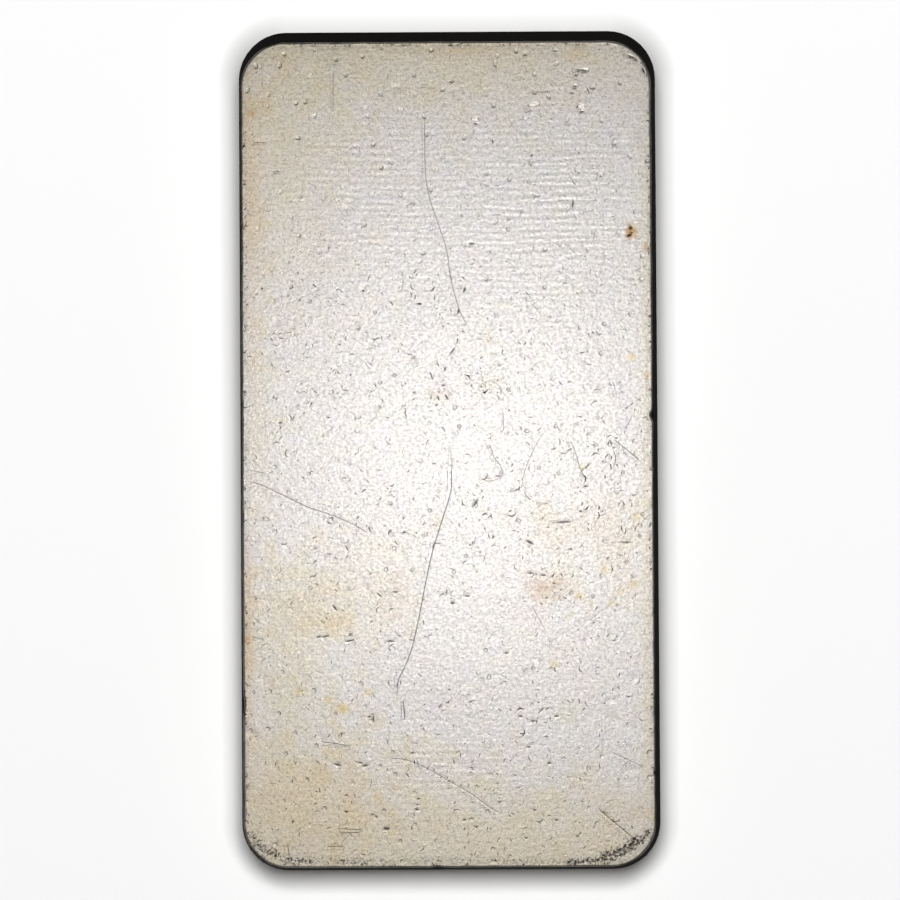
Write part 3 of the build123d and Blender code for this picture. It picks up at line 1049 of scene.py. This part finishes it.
def silverMaterial():
    # clean silver under its film, darker in the marks and black with tarnish, and its fine relief
    material = bpy.data.materials.new("wornSilver")
    material.use_nodes = True
    tree = material.node_tree
    tree.nodes.clear()
    n = Nodes(tree)
    skin = n.add("ShaderNodeUVMap", {"uv_map": "skin"}).outputs[0]
    wall = n.field("wall")

    # small marks lie closer in some places than in others
    crowd = n.ramp(n.noise(skin, *silver["crowdNoise"]), 0.38, 0.60, 0.15, 1.50)
    crowd = n.times(crowd, n.field("worn"))
    height, dark = smallMarks(n, skin, wall, crowd)
    height, dark = largeMarks(n, height, dark)
    height = fineRelief(n, skin, wall, crowd, height)
    bump = n.add("ShaderNodeBump", None, None, Strength=1.0, Distance=mm, Height=height)

    # the film's colour, with its painted shade along the edges, mottled
    metal = n.blend(1.0, silver["cleanColour"], n.field("film", "Color"), "MULTIPLY")
    mottle = n.noise(skin, *silver["mottleNoise"])
    cloud = n.noise(skin, *silver["cloudNoise"])
    shade = n.times(dark, n.ramp(mottle, 0.30, 0.56, 0.90, 1.025), n.ramp(cloud, 0.36, 0.58, 0.94, 1.0))
    grey = n.add("ShaderNodeCombineColor", None, (shade, shade, shade)).outputs[0]
    metal = n.blend(1.0, metal, grey, "MULTIPLY")

    # black tarnish, with a ragged edge
    ragged = n.timesPlus(n.noise(skin, *silver["sootNoise"]), 4.0, n.field("soot"))
    soot = n.times(n.ramp(ragged, 2.45, 3.15, 0.0, 0.95), n.ramp(n.field("soot"), 0.02, 0.25))
    metal = n.blend(soot, metal, silver["sootColour"])

    rough = n.ramp(mottle, 0.3, 0.7, silver["roughness"] + 0.03, silver["roughness"] - 0.02)
    rough = n.timesPlus(soot, silver["sootRougher"], rough)
    rough = n.timesPlus(wall, -silver["wallSmoother"], rough)
    shader = n.add("ShaderNodeBsdfPrincipled", None, None, Metallic=1.0, Roughness=rough,
                   Normal=bump.outputs[0])
    n.put(shader.inputs["Base Color"], metal)
    output = n.add("ShaderNodeOutputMaterial")
    tree.links.new(shader.outputs[0], output.inputs["Surface"])
    return material


piece = makeIngot()
piece.data.materials.append(silverMaterial())
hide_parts(ingot["node"])
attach(piece, "root")
print("silver finished")


# Lengths in metres, about the bar's middle.
stage = {
    "floorSize": 6.0,
    "floorColour": (0.9, 0.9, 0.9, 1),
    "paintedShadowReach": 0.0021,      # painted shadow: the paper is darker this far out from the bar
    "shade": 0.24,             # painted shadow, by this share at its ends
    "paintedShadowSideways": 0.22,     # and by this much more at its sides
    # lights: where they hang, how large they are across and along, and their power in W
    "paperLight": ((0, 0.235, 0.97), (0.32, 0.32), 10.5),
    "hotLight": ((0, -0.0145, 0.25), (0.03, 0.03), 0.0077),
    "softPlace": (-0.0023, -0.0098, 0.14),
    "softWidth": 0.10,
    "softLengths": (0.084, 0.104, 0.124),
    "softPower": 0.210,        # for each metre of length
    "ringBoxes": 6,
    "ringRadius": 0.32,
    "ringHeight": 0.10,
    "ringSize": (0.22, 0.40),
    "ringPower": 0.20,
    "bandEdges": (0.25, 0.65),   # the world's band of light fades between these sines of the height
    "bandLight": 0.32,
    "skyLight": 0.004,
    "cameraHeight": 1.5,
    "cameraOffset": (0.0296, 0.0838),
    "aimAt": (0.00009, 0.00012, 0.0),
    "frameWidth": 0.09549,     # what the frame takes in, at the floor
    "sensorWidth": 36,
}


def makeFloor():
    # pale paper with a painted shadow, which falls off evenly with the distance from the bar's rounded
    # outline
    half = stage["floorSize"] / 2
    corners = np.array([(-half, -half, 0), (half, -half, 0), (half, half, 0), (-half, half, 0)]) / mm
    floor = addMesh("floor", corners, [np.array([[0, 1, 2, 3]])])
    material = bpy.data.materials.new("palePaperPaintedShadow")
    material.use_nodes = True
    shader = material.node_tree.nodes["Principled BSDF"]
    shader.inputs["Roughness"].default_value = 1.0
    shader.inputs["Specular IOR Level"].default_value = 0.0
    n = Nodes(material.node_tree)
    place = n.add("ShaderNodeTexCoord").outputs["Object"]
    radius = ingot["baseCorner"] * mm
    inner = (ingot["footWidth"] / 2 * mm - radius, ingot["length"] / 2 * mm - radius, 0)
    past = n.vector("MAXIMUM", n.vector("SUBTRACT", n.vector("ABSOLUTE", place), inner), (0, 0, 0))
    reach = n.add("ShaderNodeVectorMath", {"operation": "LENGTH"}, (past,)).outputs["Value"]
    sideways = n.math("DIVIDE", n.parts(past)[0], reach)
    away = n.math("SUBTRACT", reach, radius)
    near = n.add("ShaderNodeMapRange", None, (away, 0, stage["paintedShadowReach"], 1, 0)).outputs[0]
    most = n.timesPlus(sideways, stage["paintedShadowSideways"], stage["shade"])
    shade = n.times(near, most)
    # painted shadow: the paper's colour goes towards black by that share near the bar
    n.put(shader.inputs["Base Color"], n.blend(shade, stage["floorColour"], (0, 0, 0, 1)))
    floor.data.materials.append(material)
    floor.visible_glossy = False
    floor.visible_shadow = False   # the tall boxes round the bar reach below it


def addLight(name, place, aim, size, power, glossy=True, diffuse=True):
    # a flat box of light at one place, turned to another, and unseen by the camera
    data = bpy.data.lights.new(name, "AREA")
    data.shape, data.size, data.size_y = "RECTANGLE", size[0], size[1]
    data.energy = power
    light = bpy.data.objects.new(name, data)
    light.location = place
    light.rotation_euler = (Vector(aim) - Vector(place)).to_track_quat("-Z", "Y").to_euler()
    light.visible_camera = False
    light.visible_glossy = glossy
    light.visible_diffuse = diffuse
    bpy.context.scene.collection.objects.link(light)


def makeLights():
    # one light that the metal doesn't see, for the paper
    place, size, power = stage["paperLight"]
    addLight("paperLight", place, (0, 0, 0), size, power, glossy=False)
    # and lights that only the metal sees: a small hot one
    place, size, power = stage["hotLight"]
    addLight("hotLight", place, (*place[:2], 0), size, power, diffuse=False)
    # three soft ones, each longer than the last, so that their light falls off softly at the ends
    place = stage["softPlace"]
    for number, long in enumerate(stage["softLengths"]):
        addLight(f"softLight{number}", place, (*place[:2], 0), (stage["softWidth"], long),
                 stage["softPower"] * long, diffuse=False)
    # and a ring of tall ones, with gaps between them, for the walls
    high = stage["ringHeight"]
    for number in range(stage["ringBoxes"]):
        turn = 2 * math.pi * (number + 0.35) / stage["ringBoxes"]
        x, y = stage["ringRadius"] * math.cos(turn), stage["ringRadius"] * math.sin(turn)
        addLight(f"ringLight{number}", (x, y, high), (0, 0, high), stage["ringSize"], stage["ringPower"],
                 diffuse=False)


def makeWorld():
    # the camera sees white; all else sees a band of light round the horizon, for the walls
    world = bpy.data.worlds.new("studio")
    world.use_nodes = True
    n = Nodes(world.node_tree)
    background = world.node_tree.nodes["Background"]
    background.inputs["Color"].default_value = (1, 1, 1, 1)
    up = n.parts(n.add("ShaderNodeTexCoord").outputs["Generated"])[2]
    band = n.ramp(n.math("ABSOLUTE", up), *stage["bandEdges"], stage["bandLight"], stage["skyLight"])
    seen = n.add("ShaderNodeLightPath").outputs["Is Camera Ray"]
    n.put(background.inputs["Strength"], n.math("MAXIMUM", band, seen))
    bpy.context.scene.world = world
    bpy.context.scene.view_settings.view_transform = "Standard"


def makeCamera():
    # a long lens from high above, as in the photo, turned so that the bar looks as it does there
    data = bpy.data.cameras.new("camera")
    camera = bpy.data.objects.new("camera", data)
    aim = Vector(stage["aimAt"])
    place = Vector((*stage["cameraOffset"], stage["cameraHeight"]))
    away = (aim - place).length
    data.sensor_width = stage["sensorWidth"]
    data.lens = data.sensor_width * away / stage["frameWidth"]
    data.clip_start, data.clip_end = 0.01, 20
    look = (aim - place).normalized()
    turn = math.radians(photo["turnedDeg"])
    up = Vector((math.sin(turn), math.cos(turn), 0))   # the bar turns one way, so the camera the other
    right = look.cross(up).normalized()
    up = right.cross(look)
    camera.matrix_world = Matrix((right, up, -look)).transposed().to_4x4()
    camera.location = place
    bpy.context.scene.collection.objects.link(camera)
    bpy.context.scene.camera = camera


makeFloor()
makeLights()
makeWorld()
makeCamera()
print("studio set")
